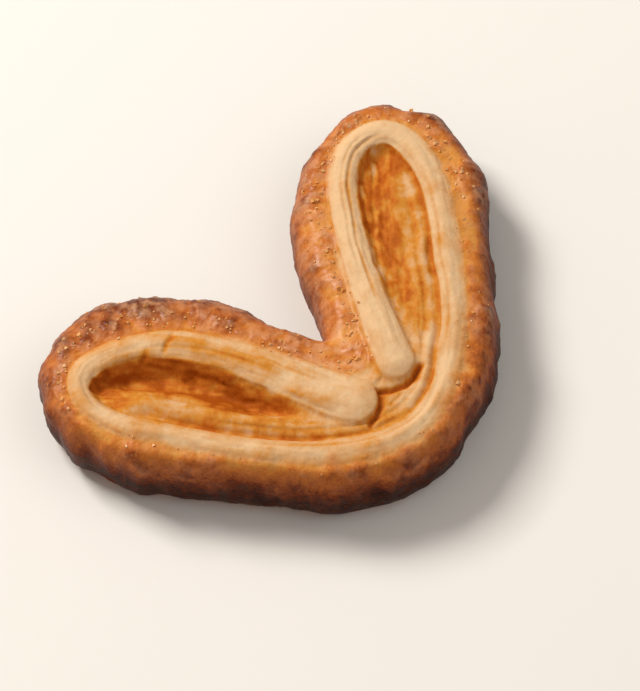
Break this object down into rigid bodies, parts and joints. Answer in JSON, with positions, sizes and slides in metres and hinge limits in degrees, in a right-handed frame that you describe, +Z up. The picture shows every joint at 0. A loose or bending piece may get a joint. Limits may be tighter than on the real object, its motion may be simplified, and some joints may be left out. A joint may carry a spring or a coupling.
{
  "type": "palmier pastry",
  "caption": "Heart-shaped puff pastry, lying flat, with a coiled pale band on its cut face and browned sugared crust.",
  "frame": {"origin": "on the base, below the middle of the outline seen from above", "axes": "+Z up through the pastry's thickness, +X across the lobes towards the right lobe, +Y from the heart's foot towards the cleft"},
  "size_m": [0.0852, 0.0602, 0.0159],
  "materials": {
    "baked_pastry": "flaky, golden brown, lightly glazed with baked sugar"
  },
  "bodies": {
    "root": {"palmier": "baked_pastry"}
  },
  "joints": []
}
